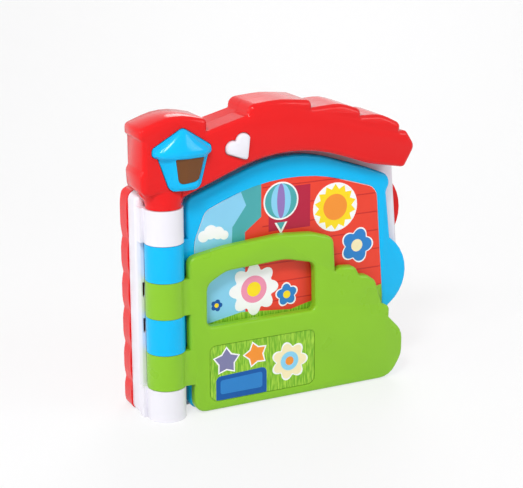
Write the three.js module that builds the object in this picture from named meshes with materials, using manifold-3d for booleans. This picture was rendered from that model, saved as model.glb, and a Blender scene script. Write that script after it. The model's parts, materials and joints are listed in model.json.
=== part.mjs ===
// A toy book for babies, built like a barn. A hollow base with an arched tiled roof stands on its
// lower edge, and two thick plastic pages turn on the upright barrel at its left side.
// Millimetres. X runs to the right, Y to the back and Z up. The barrel's axis is X = 0, Y = 0.
import * as THREE from 'three';
import { mergeVertices } from 'three/addons/utils/BufferGeometryUtils.js';
import Module from 'manifold-3d';

const wasm = await Module();
wasm.setup();

// Clearances and fineness
const SEAT_GAP = 0.3;
const KNUCKLE_GAP = 0.3;
const BUTTON_GAP = 0.6;
const CHORD_ERROR = 0.14;
const BEVEL_STEPS = 2;
const ROUND_SIDES = 40;
const SMALL_SIDES = 12;
const MIN_ROUND = 0.05;
const EDGE_SHARE = 0.98;
const THROUGH = 2;

// Barrel and its pin
const BARREL_RADIUS = 14;
const PIN_RADIUS = 2;
const PIN_BOTTOM = 8;
const PIN_TOP_DEPTH = 10;
const BOTTOM_KNUCKLE = 23.9;
const KNUCKLE_PITCH = 26.8;
const PAGE_KNUCKLES = 4;
const TOP_KNUCKLE = 25.3;
const TROUGH_GAP = 1;
const NECK_RADIUS = 12.8;

// Base
const WALL = 2.2;
const BASE_LEFT = -17.2;
const BASE_RIGHT = 190;
const BASE_FRONT = 9.3;
const SHELL_JOINT = 23.3;
const BASE_BACK = 39;
const BASE_ROUND = 3;
const BASE_WAIST_HEIGHT = 62;
const BASE_FLARE = 7.8;
const BASE_FLARE_HEIGHT = 97;
const BASE_TOP_RIGHT = 191;
const PLANK_BULGE = 1.3;
const PLANK_FIRST_NOTCH = 21.4;
const PLANK_COUNT = 6;
const EAVE_LEFT_HEIGHT = 163;
const TAB_REACH = 207.8;
const TAB_RADIUS = 34;
const TAB_HEIGHT = 127;

// Roof
const ROOF_FRONT = -11;
const ROOF_JOINT = 9;
const ROOF_BACK = 27;
const ROOF_ROUND = 3;
const ROOF_WALL = 2.4;
const CHIMNEY_BACK = 21;
const CHIMNEY_LEFT = -20.2;
const CHIMNEY_RIGHT = 29.6;
const CHIMNEY_BOTTOM = 166;
const CHIMNEY_TOP = 223.5;
const CHIMNEY_WAIST = 1.8;
const ARCH_LEFT = { x: 10, z: 163.5 };
const ARCH_APEX = { x: 93.9, z: 195.8, round: 120 };
const ARCH_BEND = { x: 160, z: 172.3, round: 15 };
const ARCH_RIGHT = { x: 189.5, z: 166.6, round: 3 };
const ARCH_COVER = 5;

// Pages
const PAGE_GAP = 0.3;
const PAGE_THICKNESS = 8.7;
const PAGE_WALL = 2;
const PAGE_ROUND = 1.9;
const PAGE_BOTTOM = 0.8;
const PAGE_JOINT_GAP = 0.2;
const BLUE_LEFT = 17.8;
const BLUE_RIGHT = 185;
const GREEN_LEFT = 15.2;
const GREEN_FOOT_LEFT = 18.6;
const ARM_OVERLAP = 4;

// Printed sheets
const PRINT_THICKNESS = 0.5;
const PRINT_RECESS = 0.9;
const PRINT_MARGIN = 0.4;

// Buttons
const FLANGE_THICKNESS = 1.5;
const FLANGE_RIM = 2;
const FLANGE_BITE = 0.1;
const BUTTON_TRAVEL = 2;
const LANTERN_CENTRE = 10.8;
const LANTERN_BOTTOM = 169.6;
const LANTERN_EAVE = 193.8;
const LANTERN_APEX = 213.6;
const LANTERN_HALF_WIDTH = 18.4;
const LANTERN_FOOT_HALF_WIDTH = 11;
const LANTERN_ROOF_HALF_WIDTH = 22;
const LANTERN_BULGE = 6;
const LENS_THICKNESS = 1.2;
const LENS_INSET = 0.4;
const HEART_CENTRE = { x: 52.5, z: 197.6 };
const HEART_LOBE = 5.6;
const HEART_SPREAD = 4.6;
const HEART_TIP = 13.4;
const HEART_TIP_ROUND = 1.4;
const HEART_TILT = 0.55;
const HEART_PROUD = 2.6;
const HEART_ROUND = 1.6;

// Electrical parts
const BATTERY_RADIUS = 7.1;
const BATTERY_LENGTH = 49.2;
const BATTERY_NUB = { radius: 2.75, length: 1.3 };
const BATTERY_PITCH = 16.2;
const BAY_WALL = 1.6;
const BAY_FLOOR = 21;
const BAY_CENTRE_HEIGHT = 47;
const BAY_HEIGHT = 34;
const BAY_RIGHT = 118;
const CONTACT_THICKNESS = 0.6;
const DOOR_THICKNESS = 2.2;
const DOOR_BOSS_WIDTH = 9;
const SPEAKER = { x: 50, z: 110, radius: 20, rim: 3, basket: 7.5, magnet: 10, magnetDepth: 6 };
const GRILLE_SLOTS = 5;
const GRILLE_PITCH = 5.6;
const GRILLE_SLOT_WIDTH = 2.4;
const BOARD = { left: 120, right: 180, bottom: 85, top: 125, front: 18, thickness: 1.6 };
const CHIP_SIZE = 11;
const CHIP_HEIGHT = 1.6;
const ROOF_BOARD = { left: -10, right: 63, bottom: 189, top: 198, front: 1, thickness: 1.6 };
const ROOF_POST = { x: 37.5, radius: 2.5 };
const SWITCH_SIZE = 6;
const SWITCH_HEIGHT = 3.5;
const LED_RADIUS = 2.5;
const LED_LENGTH = 4;
const POWER = { x: 150, z: 50, width: 13, height: 5.4, knobWidth: 5.4, travel: 4 };

// Screws
const SCREW = { shank: 1.4, head: 2.9, headHeight: 2.3, length: 12.5, clearance: 0.3 };
const BOSS_RADIUS = 4.6;
const SCREW_SEAT = 28;
const CASE_SCREWS = [[26, 12], [180, 12], [26, 150], [178, 150]];
const ROOF_SCREWS = [[39.2, 202.4], [150, 192]];

function paint(color, roughness, metalness = 0, opacity = 1) {
  return new THREE.MeshStandardMaterial({ color, roughness, metalness, opacity, transparent: opacity < 1 });
}

const RED = paint(0xee1c1e, 0.25);
const WHITE = paint(0xf8f6fc, 0.3);
const BLUE = paint(0x00b7f3, 0.25);
const GREEN = paint(0x8cc82d, 0.3);
const PRINT = paint(0xf04632, 0.5);
const PRINT_GREEN = paint(0x9ccf3a, 0.5);
const SMOKE = paint(0x695023, 0.1, 0, 0.8);
const STEEL = paint(0xb8babd, 0.35, 1);
const BLACK = paint(0x1c1c1e, 0.5);
const BOARD_GREEN = paint(0x1d6b3a, 0.5);
const CELL = paint(0x3a3d42, 0.4, 0.5);

// Solids from three.js geometry, so that they can be joined and cut
function solid(geometry) {
  const bare = geometry.clone();
  bare.deleteAttribute('normal');
  bare.deleteAttribute('uv');
  const merged = mergeVertices(bare);
  return new wasm.Manifold(new wasm.Mesh({
    numProp: 3,
    vertProperties: Float32Array.from(merged.attributes.position.array),
    triVerts: Uint32Array.from(merged.index.array),
  }));
}

function join(first, ...others) {
  return others.reduce((sum, other) => sum.add(other), first);
}

function cut(first, ...others) {
  return others.reduce((rest, other) => rest.subtract(other), first);
}

function piece(name, shape, material) {
  const mesh = shape.getMesh();
  const geometry = new THREE.BufferGeometry();
  geometry.setAttribute('position', new THREE.BufferAttribute(mesh.vertProperties, 3));
  geometry.setIndex(new THREE.BufferAttribute(mesh.triVerts, 1));
  geometry.computeVertexNormals();
  const result = new THREE.Mesh(geometry, material);
  result.name = name;
  return result;
}

function block([x0, x1], [y0, y1], [z0, z1]) {
  const geometry = new THREE.BoxGeometry(x1 - x0, y1 - y0, z1 - z0);
  geometry.translate((x0 + x1) / 2, (y0 + y1) / 2, (z0 + z1) / 2);
  return solid(geometry);
}

// A round bar along Z on the barrel's axis
function upright(radius, bottom, top, sides = ROUND_SIDES) {
  const geometry = new THREE.CylinderGeometry(radius, radius, top - bottom, sides);
  geometry.rotateX(Math.PI / 2);
  geometry.translate(0, 0, (bottom + top) / 2);
  return solid(geometry);
}

// A round bar along Y through the point x, z
function bar(radius, front, back, x, z, sides = SMALL_SIDES) {
  const geometry = new THREE.CylinderGeometry(radius, radius, back - front, sides);
  geometry.translate(x, (front + back) / 2, z);
  return solid(geometry);
}

// An outline as a function of how far it is grown (or, below zero, shrunk). Its corners are
// [x, z, fillet radius], listed anticlockwise as seen from the front.
function outline(corners) {
  const count = corners.length;
  const previous = (index) => (index + count - 1) % count;
  const following = (index) => (index + 1) % count;
  const places = corners.map(([x, z]) => new THREE.Vector2(x, z));
  const edges = places.map((place, index) => places[following(index)].clone().sub(place).normalize());
  const turns = edges.map((edge, index) => {
    const before = edges[previous(index)];
    return Math.atan2(before.cross(edge), before.dot(edge));
  });
  return (grow = 0) => {
    const moved = places.map((place, index) => {
      const before = outward(edges[previous(index)]);
      const after = outward(edges[index]);
      return place.clone().addScaledVector(before.clone().add(after), grow / (1 + before.dot(after)));
    });
    const radii = corners.map(([, , round], index) => (
      round && Math.max(round + Math.sign(turns[index]) * grow, MIN_ROUND)
    ));
    const reaches = radii.map((radius, index) => radius * Math.tan(Math.abs(turns[index]) / 2));
    const shares = moved.map((corner, index) => {
      const wanted = reaches[index] + reaches[following(index)];
      return Math.min(1, (EDGE_SHARE * corner.distanceTo(moved[following(index)])) / wanted);
    });
    return moved.flatMap((corner, index) => {
      const share = Math.min(shares[index], shares[previous(index)]);
      return fillet(corner, edges[previous(index)], turns[index], corners[index][2], radii[index] * share);
    });
  };
}

const outward = (edge) => new THREE.Vector2(edge.y, -edge.x);

// The points that round one corner. The wanted radius sets how many, so that a grown outline
// has as many points as the first one.
function fillet(corner, edge, turn, wanted, radius) {
  if (!wanted || Math.abs(turn) < 0.01) return [corner];
  const start = corner.clone().addScaledVector(edge, -radius * Math.tan(Math.abs(turn) / 2));
  const toCentre = outward(edge).multiplyScalar(-Math.sign(turn) * radius);
  const centre = start.clone().add(toCentre);
  const stepTurn = 2 * Math.acos(1 - Math.min(0.5, CHORD_ERROR / wanted));
  const steps = Math.max(1, Math.ceil(Math.abs(turn) / stepTurn));
  return Array.from({ length: steps + 1 }, (_, step) => (
    start.clone().rotateAround(centre, (turn * step) / steps)
  ));
}

// A plate with the given outline between two planes of Y, its front and back edges rounded
function plate(shape, front, back, { grow = 0, roundFront = 0, roundBack = 0, windows = [] } = {}) {
  const levels = [...edgeLevels(front, roundFront, 1), ...edgeLevels(back, roundBack, -1).reverse()];
  const rings = levels.map(({ y, inset }) => {
    const loops = [shape(grow - inset), ...windows.map((window) => window(inset - grow).reverse())];
    return { y, loops, points: loops.flat() };
  });
  const size = rings[0].points.length;
  const positions = rings.flatMap(({ y, points }) => points.flatMap((point) => [point.x, y, point.y]));
  const [contour, ...holes] = rings[0].loops;
  const faces = THREE.ShapeUtils.triangulateShape([...contour], holes.map((hole) => [...hole])).flat();
  const last = (rings.length - 1) * size;
  for (let index = faces.length - 3; index >= 0; index -= 3) {
    const [a, b, c] = faces.slice(index, index + 3);
    faces.push(last + a, last + c, last + b);
  }
  for (let level = 0; level < rings.length - 1; level += 1) {
    let start = level * size;
    rings[0].loops.forEach((loop) => {
      loop.forEach((_, side) => {
        const here = start + side;
        const next = start + ((side + 1) % loop.length);
        faces.push(here, here + size, next + size, here, next + size, next);
      });
      start += loop.length;
    });
  }
  const geometry = new THREE.BufferGeometry();
  geometry.setAttribute('position', new THREE.Float32BufferAttribute(positions, 3));
  geometry.setIndex(faces);
  return solid(geometry);
}

// Planes of Y across a rounded edge, from the face inwards, with how far each one is set in
function edgeLevels(face, round, inwards) {
  if (round === 0) return [{ y: face, inset: 0 }];
  return Array.from({ length: BEVEL_STEPS + 1 }, (_, step) => {
    const angle = (step / BEVEL_STEPS) * (Math.PI / 2);
    return { y: face + inwards * round * (1 - Math.cos(angle)), inset: round * (1 - Math.sin(angle)) };
  });
}

// Stacked sections of equal point counts, each a list of [x, y, z], closed at both ends
function loft(sections) {
  const size = sections[0].length;
  const positions = sections.flat(2);
  const faces = [];
  for (let level = 0; level < sections.length - 1; level += 1) {
    for (let side = 0; side < size; side += 1) {
      const next = (side + 1) % size;
      const a = level * size + side;
      const b = level * size + next;
      faces.push(a, b, b + size, a, b + size, a + size);
    }
  }
  const last = (sections.length - 1) * size;
  for (let side = 1; side < size - 1; side += 1) {
    faces.push(0, side + 1, side);
    faces.push(last, last + side, last + side + 1);
  }
  const geometry = new THREE.BufferGeometry();
  geometry.setAttribute('position', new THREE.Float32BufferAttribute(positions, 3));
  geometry.setIndex(faces);
  return solid(geometry);
}

// Heights of the barrel's joints, from the floor up
const knuckleBottom = (index) => BOTTOM_KNUCKLE + index * KNUCKLE_PITCH;
const pageKnucklesTop = knuckleBottom(PAGE_KNUCKLES);
const topKnuckleTop = pageKnucklesTop + TOP_KNUCKLE;
const neckBottom = topKnuckleTop + KNUCKLE_GAP;
const pinTop = neckBottom + PIN_TOP_DEPTH;
const boreRadius = PIN_RADIUS + SEAT_GAP;
const pinBore = upright(boreRadius, PIN_BOTTOM - SEAT_GAP, pinTop + SEAT_GAP, SMALL_SIDES);

// The arch under the roof, raised by the given height
function arch(raise) {
  return [
    [ARCH_RIGHT.x, ARCH_RIGHT.z + raise, ARCH_RIGHT.round],
    [ARCH_BEND.x, ARCH_BEND.z + raise, ARCH_BEND.round],
    [ARCH_APEX.x, ARCH_APEX.z + raise, ARCH_APEX.round],
  ];
}

// The base's front shell, white, with the barrel's top and bottom knuckles
const baseCorners = [
  [BASE_LEFT, 0, 4],
  [BASE_RIGHT, 0, 6],
  [BASE_RIGHT, BASE_WAIST_HEIGHT, 8],
  [BASE_RIGHT + BASE_FLARE, BASE_FLARE_HEIGHT, 8],
  [BASE_TOP_RIGHT, ARCH_RIGHT.z + ARCH_COVER, 4],
  ...arch(ARCH_COVER).slice(1),
  [BASE_LEFT, EAVE_LEFT_HEIGHT, 6],
];
const baseOutline = outline(baseCorners);

const basePrintCorners = [
  [22, 8, 6],
  [182, 8, 6],
  [182, 66, 10],
  [184, 100, 10],
  [178, 150, 12],
  [96, 176, 110],
  [22, 150, 14],
];
const basePrintOutline = outline(basePrintCorners);

function makeFrontShell() {
  const troughRadius = BARREL_RADIUS + TROUGH_GAP;
  const troughBottom = knuckleBottom(0) - KNUCKLE_GAP;
  const troughTop = pageKnucklesTop + KNUCKLE_GAP;
  const shell = plate(baseOutline, BASE_FRONT, SHELL_JOINT - SEAT_GAP, { roundFront: BASE_ROUND });
  const hollow = cut(
    plate(baseOutline, BASE_FRONT + WALL, SHELL_JOINT + THROUGH, { grow: -WALL }),
    upright(troughRadius + WALL, -THROUGH, topKnuckleTop + WALL),
  );
  const knuckles = [[0, troughBottom], [troughTop, topKnuckleTop]].map(([bottom, top]) => join(
    upright(BARREL_RADIUS, bottom, top),
    block([BASE_LEFT + 1, BARREL_RADIUS - 1], [4, BASE_FRONT + WALL], [bottom, top]),
  ));
  const slots = [2, 1].map((index) => block(
    [-BARREL_RADIUS + 0.8, -BARREL_RADIUS + 3.4],
    [BASE_FRONT - 1, BASE_FRONT + 5],
    [knuckleBottom(index) + 12, knuckleBottom(index) + 23],
  ));
  const bosses = CASE_SCREWS.map(([x, z]) => bar(BOSS_RADIUS - 1, BASE_FRONT + 1, SHELL_JOINT - SEAT_GAP, x, z));
  const bores = CASE_SCREWS.map(([x, z]) => bar(SCREW.shank + SCREW.clearance, 14, SHELL_JOINT + THROUGH, x, z));
  const printBed = plate(basePrintOutline, BASE_FRONT - THROUGH, BASE_FRONT + PRINT_RECESS);
  return cut(
    join(cut(shell, hollow, upright(troughRadius, troughBottom, troughTop)), ...knuckles, ...bosses),
    ...slots,
    ...bores,
    printBed,
    chimneyRoom(),
    upright(NECK_RADIUS + SEAT_GAP + 1.6, topKnuckleTop, CHIMNEY_BOTTOM + 4),
    pinBore,
  );
}

// The base's back shell, red: planked side, round finger tab, battery bay and the roof's back half
function plankedSide() {
  const corners = [];
  const left = BASE_LEFT;
  const notches = [];
  for (let index = 0; index < PLANK_COUNT - 1; index += 1) {
    notches.push(PLANK_FIRST_NOTCH + index * KNUCKLE_PITCH);
  }
  const levels = [EAVE_LEFT_HEIGHT, ...notches.reverse(), 0];
  levels.slice(0, -1).forEach((top, index) => {
    const bottom = levels[index + 1];
    const quarter = (top - bottom) / 4;
    corners.push([left, top, index === 0 ? 6 : 0.6]);
    corners.push([left - PLANK_BULGE, top - quarter, 20]);
    corners.push([left - PLANK_BULGE, bottom + quarter, 20]);
  });
  corners.push([left, 0, 4]);
  return corners;
}

const tabCentre = TAB_REACH - TAB_RADIUS;
const tabSpan = 0.62;
const tabCorner = tabCentre + TAB_RADIUS / Math.cos(tabSpan);
const tabEdge = tabCentre + TAB_RADIUS * Math.cos(tabSpan);
const tabHalfHeight = TAB_RADIUS * Math.sin(tabSpan);

const backOutline = outline([
  ...plankedSide(),
  [BASE_RIGHT, 0, 6],
  [BASE_RIGHT, BASE_WAIST_HEIGHT, 8],
  [tabEdge - 2, TAB_HEIGHT - tabHalfHeight - 2, 1],
  [tabCorner, TAB_HEIGHT, TAB_RADIUS],
  [tabEdge - 6, TAB_HEIGHT + tabHalfHeight + 5, 1],
  [BASE_TOP_RIGHT, ARCH_RIGHT.z + ARCH_COVER, 4],
  [ARCH_BEND.x, ARCH_BEND.z + 14, 30],
  [ARCH_APEX.x, ARCH_APEX.z + 14, 110],
]);

// The tiles' steps along the roof's top, from the right end to the chimney
const roofTop = [
  [198.6, 182.5, 7],
  [191, 194.2, 4],
  [184.6, 194.8, 0.5],
  [185.8, 200, 4],
  [169, 208.6, 30],
  [151.3, 208.9, 0.5],
  [152.2, 213.4, 4],
  [135, 219.4, 30],
  [111.2, 218.3, 0.5],
  [111.6, 223.8, 4],
  [86, 226.4, 60],
  [61.5, 224.6, 6],
  [61.3, 217.2, 0.5],
];
const roofOutline = outline([
  [ARCH_LEFT.x, ARCH_LEFT.z, 0],
  ...arch(0).reverse(),
  ...roofTop,
  [CHIMNEY_RIGHT, 209, 0],
  [ARCH_LEFT.x, 205, 0],
]);
const roofBackOutline = outline([
  [-2, ARCH_LEFT.z + ARCH_COVER, 2],
  ...arch(ARCH_COVER + 0.4).reverse(),
  ...roofTop,
  [CHIMNEY_RIGHT, 209, 10],
  [-2, 205, 8],
]);

const chimneyOutline = outline([
  [CHIMNEY_LEFT + 1, CHIMNEY_BOTTOM, 6],
  [CHIMNEY_RIGHT - 6, CHIMNEY_BOTTOM + 6, 0],
  [CHIMNEY_RIGHT, CHIMNEY_BOTTOM + 12, 0],
  [CHIMNEY_RIGHT, CHIMNEY_TOP - 5.5, 3.4],
  [5, CHIMNEY_TOP, 48],
  [CHIMNEY_LEFT, CHIMNEY_TOP - 9, 3.4],
  [CHIMNEY_LEFT, CHIMNEY_TOP - 15.5, 1],
  [CHIMNEY_LEFT + CHIMNEY_WAIST, CHIMNEY_TOP - 17.5, 1],
  [CHIMNEY_LEFT + CHIMNEY_WAIST, CHIMNEY_BOTTOM + 19.5, 1],
  [CHIMNEY_LEFT, CHIMNEY_BOTTOM + 16, 3],
]);

// The room that the base's shells leave for the chimney
function chimneyRoom() {
  return plate(chimneyOutline, ROOF_FRONT, CHIMNEY_BACK + SEAT_GAP, { grow: SEAT_GAP });
}

// The battery bay's inside, reached through the back
const bay = {
  left: BAY_RIGHT - 2 * (CONTACT_THICKNESS + 2 * SEAT_GAP) - BATTERY_LENGTH - BATTERY_NUB.length - BAY_WALL
    - DOOR_BOSS_WIDTH,
  right: BAY_RIGHT,
  bottom: BAY_CENTRE_HEIGHT - BAY_HEIGHT / 2,
  top: BAY_CENTRE_HEIGHT + BAY_HEIGHT / 2,
};
const bayRib = bay.left + DOOR_BOSS_WIDTH;
const doorScrew = { x: bay.left + DOOR_BOSS_WIDTH / 2, z: BAY_CENTRE_HEIGHT };

function makeBackShell() {
  const wallInside = BASE_BACK - WALL;
  const lower = plate(backOutline, SHELL_JOINT, BASE_BACK, { roundBack: BASE_ROUND });
  const upper = plate(roofBackOutline, ROOF_JOINT + SEAT_GAP, ROOF_BACK, { roundBack: ROOF_ROUND });
  const mouth = plate(backOutline, SHELL_JOINT - THROUGH, SHELL_JOINT + WALL + 1, { grow: -WALL })
    .intersect(plate(baseOutline, SHELL_JOINT - THROUGH, SHELL_JOINT + WALL + 1, { grow: -WALL }));
  const lowerHollow = join(plate(backOutline, SHELL_JOINT + WALL, wallInside, { grow: -WALL }), mouth);
  const upperHollow = cut(
    plate(roofBackOutline, ROOF_JOINT - THROUGH, ROOF_BACK - WALL, { grow: -ROOF_WALL }),
    plate(chimneyOutline, ROOF_FRONT, CHIMNEY_BACK + SEAT_GAP + ROOF_WALL, { grow: SEAT_GAP + ROOF_WALL }),
  );
  const frontPart = plate(baseOutline, BASE_FRONT - THROUGH, SHELL_JOINT, { grow: SEAT_GAP });
  const bayBox = block(
    [bay.left - BAY_WALL, bay.right + BAY_WALL],
    [BAY_FLOOR - BAY_WALL, wallInside + 1],
    [bay.bottom - BAY_WALL, bay.top + BAY_WALL],
  );
  const bayRoom = block([bay.left, bay.right], [BAY_FLOOR, BASE_BACK + THROUGH], [bay.bottom, bay.top]);
  const rib = block([bayRib, bayRib + BAY_WALL], [BAY_FLOOR - 1, BAY_FLOOR + 12], [bay.bottom - 1, bay.top + 1]);
  const doorBoss = bar(3.6, BAY_FLOOR - 1, BASE_BACK - DOOR_THICKNESS - 2 * SEAT_GAP, doorScrew.x, doorScrew.z);
  const doorBore = bar(SCREW.shank + SCREW.clearance, BAY_FLOOR + 1, BASE_BACK, doorScrew.x, doorScrew.z);
  const towers = CASE_SCREWS.map(([x, z]) => bar(BOSS_RADIUS, SHELL_JOINT, wallInside + 1, x, z));
  const roofTowers = ROOF_SCREWS.map(([x, z]) => bar(BOSS_RADIUS, ROOF_JOINT + SEAT_GAP, ROOF_BACK - 1, x, z));
  const shanks = [...CASE_SCREWS, ...ROOF_SCREWS].map(([x, z]) => bar(
    SCREW.shank + SCREW.clearance, ROOF_JOINT, BASE_BACK, x, z,
  ));
  const heads = CASE_SCREWS.map(([x, z]) => bar(SCREW.head + SCREW.clearance, SCREW_SEAT, BASE_BACK + 1, x, z));
  const roofHeads = ROOF_SCREWS.map(([x, z]) => bar(
    SCREW.head + SCREW.clearance, roofScrewSeat, BASE_BACK + 1, x, z,
  ));
  const speakerRing = cut(
    bar(SPEAKER.radius + SEAT_GAP + BAY_WALL, wallInside - SPEAKER.rim - 3, wallInside + 1, SPEAKER.x, SPEAKER.z, 28),
    bar(SPEAKER.radius + SEAT_GAP, wallInside - SPEAKER.rim - 5, wallInside, SPEAKER.x, SPEAKER.z, 28),
  );
  const grille = grilleSlots(wallInside - THROUGH, BASE_BACK + THROUGH);
  const boardBosses = boardMounts().map(([x, z]) => bar(
    3, BOARD.front + BOARD.thickness + SEAT_GAP, wallInside + 1, x, z,
  ));
  const powerSlot = block(
    [POWER.x - POWER.width / 2, POWER.x + POWER.width / 2],
    [wallInside - THROUGH, BASE_BACK + THROUGH],
    [POWER.z - POWER.height / 2, POWER.z + POWER.height / 2],
  );
  const powerPosts = [-1, 1].map((side) => block(
    [POWER.x + side * (POWER.width / 2 + 3.5) - 1, POWER.x + side * (POWER.width / 2 + 3.5) + 1],
    [wallInside - 8, wallInside + 1],
    [POWER.z - 5, POWER.z + 5],
  ));
  const shell = join(
    cut(join(cut(lower, lowerHollow), cut(upper, upperHollow)), cut(lowerHollow, roofSkin()), frontPart),
    bayBox,
    ...towers,
    ...roofTowers,
    speakerRing,
    ...boardBosses,
    ...powerPosts,
  );
  return cut(
    shell, chimneyRoom(), cut(bayRoom, rib, doorBoss), doorBore, ...shanks, ...heads, ...roofHeads,
    ...grille, powerSlot,
  );
}

// The roof's own back wall and rim, which the base's hollow must leave standing
function roofSkin() {
  return cut(
    plate(roofBackOutline, ROOF_JOINT + SEAT_GAP, ROOF_BACK + THROUGH, { grow: 0.5 }),
    plate(roofBackOutline, ROOF_JOINT - THROUGH, ROOF_BACK + 2 * THROUGH, { grow: -ROOF_WALL }),
    plate(backOutline, ROOF_JOINT - THROUGH, ROOF_BACK + 2 * THROUGH, { grow: -WALL }),
  );
}

function grilleSlots(front, back) {
  const slots = [];
  for (let index = 0; index < GRILLE_SLOTS; index += 1) {
    const rise = (index - (GRILLE_SLOTS - 1) / 2) * GRILLE_PITCH;
    const half = Math.sqrt((SPEAKER.radius - 4) ** 2 - rise ** 2);
    const z = SPEAKER.z + rise;
    slots.push(block(
      [SPEAKER.x - half, SPEAKER.x + half],
      [front, back],
      [z - GRILLE_SLOT_WIDTH / 2, z + GRILLE_SLOT_WIDTH / 2],
    ));
  }
  return slots;
}

function boardMounts() {
  return [[BOARD.left + 6, BOARD.bottom + 6], [BOARD.right - 6, BOARD.top - 6]];
}

// The roof's front, red, in one moulding with the chimney and the round neck on the barrel
const roofScrewSeat = ROOF_JOINT + 7;
const roofInside = ROOF_FRONT + ROOF_WALL;
const roofBoardMiddle = (ROOF_BOARD.bottom + ROOF_BOARD.top) / 2;

function heartOutline(grow) {
  const lobe = HEART_LOBE + grow;
  const tip = HEART_TIP + grow * 1.3;
  const side = Math.atan2(HEART_SPREAD, tip);
  const touch = Math.acos(lobe / Math.hypot(HEART_SPREAD, tip));
  const points = [
    new THREE.Vector2(-HEART_TIP_ROUND, 1.25 * HEART_TIP_ROUND - tip),
    new THREE.Vector2(0, HEART_TIP_ROUND * 0.6 - tip),
    new THREE.Vector2(HEART_TIP_ROUND, 1.25 * HEART_TIP_ROUND - tip),
  ];
  const steps = 8;
  const start = -Math.PI / 2 + side + touch;
  const end = Math.PI - Math.acos(Math.min(1, HEART_SPREAD / lobe));
  for (let step = 0; step <= steps; step += 1) {
    const angle = start + ((end - start) * step) / steps;
    points.push(new THREE.Vector2(HEART_SPREAD + lobe * Math.cos(angle), lobe * Math.sin(angle)));
  }
  for (let step = steps - 1; step >= 0; step -= 1) {
    const angle = start + ((end - start) * step) / steps;
    points.push(new THREE.Vector2(-HEART_SPREAD - lobe * Math.cos(angle), lobe * Math.sin(angle)));
  }
  const origin = new THREE.Vector2();
  return points.map((point) => point
    .rotateAround(origin, HEART_TILT)
    .add(new THREE.Vector2(HEART_CENTRE.x, HEART_CENTRE.z)));
}

const lanternRight = LANTERN_CENTRE + LANTERN_HALF_WIDTH;
const lanternLeft = LANTERN_CENTRE - LANTERN_HALF_WIDTH;
const lanternRoofRight = LANTERN_CENTRE - 0.8 + LANTERN_ROOF_HALF_WIDTH;
const lanternRoofLeft = LANTERN_CENTRE - 0.8 - LANTERN_ROOF_HALF_WIDTH;
const lanternOutline = outline([
  [LANTERN_CENTRE + 1 - LANTERN_FOOT_HALF_WIDTH, LANTERN_BOTTOM, 6],
  [LANTERN_CENTRE + 1 + LANTERN_FOOT_HALF_WIDTH, LANTERN_BOTTOM, 6],
  [lanternRight, LANTERN_EAVE, 0.8],
  [lanternRoofRight, LANTERN_EAVE + 1.2, 2],
  [lanternRoofRight - 0.4, LANTERN_EAVE + 6, 2.5],
  [LANTERN_CENTRE, LANTERN_APEX, 4],
  [lanternRoofLeft + 0.4, LANTERN_EAVE + 7, 2.5],
  [lanternRoofLeft, LANTERN_EAVE + 1.8, 2],
  [lanternLeft, LANTERN_EAVE, 0.8],
]);

// The neck widens from the barrel into the chimney's lower end
function makeNeck() {
  const levels = [
    { z: neckBottom, side: NECK_RADIUS, front: NECK_RADIUS },
    { z: neckBottom + 2, side: NECK_RADIUS, front: NECK_RADIUS },
    { z: CHIMNEY_BOTTOM - 3, side: NECK_RADIUS + 1.6, front: NECK_RADIUS - 0.6 },
    { z: CHIMNEY_BOTTOM + 2, side: NECK_RADIUS + 5.6, front: -ROOF_FRONT - 0.2 },
    { z: CHIMNEY_BOTTOM + 6, side: NECK_RADIUS + 6, front: -ROOF_FRONT - 0.4 },
  ];
  const funnel = loft(levels.map(({ z, side, front }) => Array.from({ length: ROUND_SIDES }, (_, step) => {
    const angle = (2 * Math.PI * step) / ROUND_SIDES;
    return [side * Math.cos(angle), front * Math.sin(angle), z];
  })));
  const behind = block([-40, 40], [ROOF_JOINT, 40], [CHIMNEY_BOTTOM - 6, CHIMNEY_BOTTOM]);
  return cut(funnel, behind);
}

function makeRoofShell() {
  const main = plate(roofOutline, ROOF_FRONT, ROOF_JOINT, { roundFront: ROOF_ROUND });
  const chimney = plate(chimneyOutline, ROOF_FRONT, CHIMNEY_BACK, { roundFront: ROOF_ROUND, roundBack: ROOF_ROUND });
  const mainHollow = plate(roofOutline, roofInside, ROOF_JOINT + THROUGH, { grow: -ROOF_WALL });
  const chimneyHollow = plate(chimneyOutline, roofInside, CHIMNEY_BACK - ROOF_WALL, { grow: -ROOF_WALL });
  const passage = block([ARCH_LEFT.x + 4, CHIMNEY_RIGHT + 3], [roofInside, ROOF_JOINT + THROUGH], [176, 204]);
  const pinHolder = upright(boreRadius + 3, neckBottom, pinTop + SEAT_GAP + 2, 20);
  const bosses = ROOF_SCREWS.map(([x, z]) => bar(BOSS_RADIUS - 1, roofInside - 1, ROOF_JOINT, x, z));
  const bores = ROOF_SCREWS.map(([x, z]) => bar(SCREW.shank + SCREW.clearance, 0, ROOF_JOINT + THROUGH, x, z));
  const lanternHole = plate(lanternOutline, ROOF_FRONT - THROUGH, roofInside + 0.5, { grow: BUTTON_GAP });
  const heartHole = plate(heartOutline, ROOF_FRONT - THROUGH, roofInside + 0.5, { grow: BUTTON_GAP });
  const boardPost = bar(ROOF_POST.radius, roofInside - 1, ROOF_BOARD.front - SEAT_GAP, ROOF_POST.x, roofBoardMiddle);
  return cut(
    join(cut(join(main, chimney, makeNeck()), mainHollow, chimneyHollow, passage), pinHolder, ...bosses, boardPost),
    ...bores,
    lanternHole,
    heartHole,
    pinBore,
  );
}

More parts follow.
